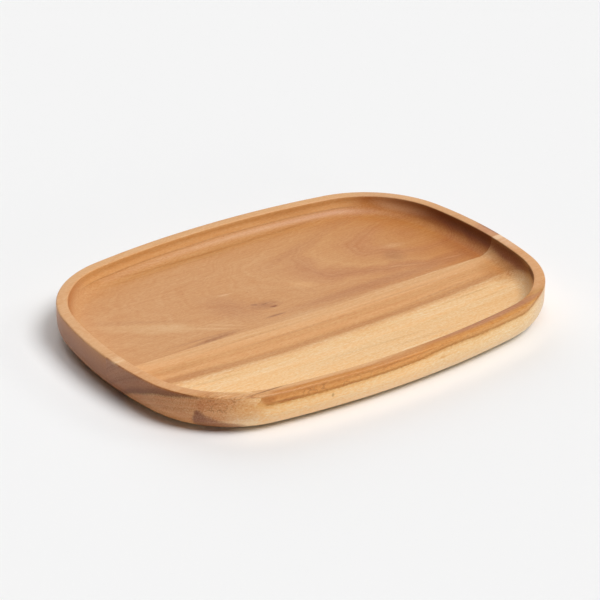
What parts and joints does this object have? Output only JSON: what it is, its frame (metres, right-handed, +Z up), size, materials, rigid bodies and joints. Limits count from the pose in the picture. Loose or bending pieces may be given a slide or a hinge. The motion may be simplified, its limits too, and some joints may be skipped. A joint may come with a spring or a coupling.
{
  "type": "oval wooden tray",
  "caption": "Low rounded-rectangle acacia serving tray with bowed sides, a flat rim and a shallow coved recess, made of edge-glued boards; it stands free on a flat underside.",
  "frame": {"origin": "middle of the flat underside, on the surface that the tray stands on", "axes": "+X along the tray's length, +Y to the wider board's side, +Z up out of the recess"},
  "size_m": [0.3, 0.22, 0.025],
  "materials": {
    "acacia_rear": "oiled, satin",
    "acacia_front": "oiled, satin"
  },
  "bodies": {
    "root": {"rear_board": "acacia_rear", "front_board": "acacia_front"}
  },
  "joints": []
}
